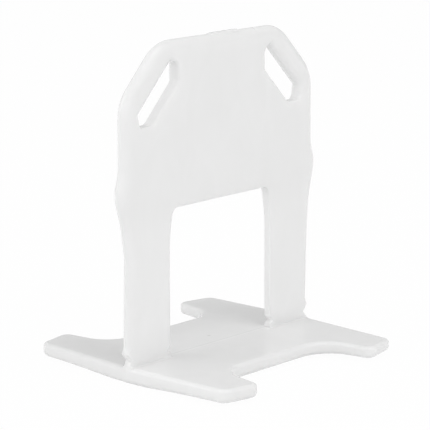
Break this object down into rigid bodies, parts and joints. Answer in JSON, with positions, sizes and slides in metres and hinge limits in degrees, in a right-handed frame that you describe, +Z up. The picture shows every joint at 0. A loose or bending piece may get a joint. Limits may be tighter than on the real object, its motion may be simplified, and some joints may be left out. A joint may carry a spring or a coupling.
{
  "type": "tile levelling clip",
  "caption": "White plastic tile levelling clip: an upright plate with a wedge window and slotted corners on slim breakaway legs, standing across a flat H-shaped base.",
  "frame": {"origin": "centre of the base's underside, on the surface that it stands on", "axes": "+Z up along the plate, X across the plate's width, Y through the plate, with the plate's front towards -Y"},
  "size_m": [0.0486, 0.0452, 0.0565],
  "materials": {
    "white_polypropylene": "semi-gloss natural white polypropylene, slightly translucent"
  },
  "bodies": {
    "root": {"levelling_clip": "white_polypropylene"}
  },
  "joints": []
}
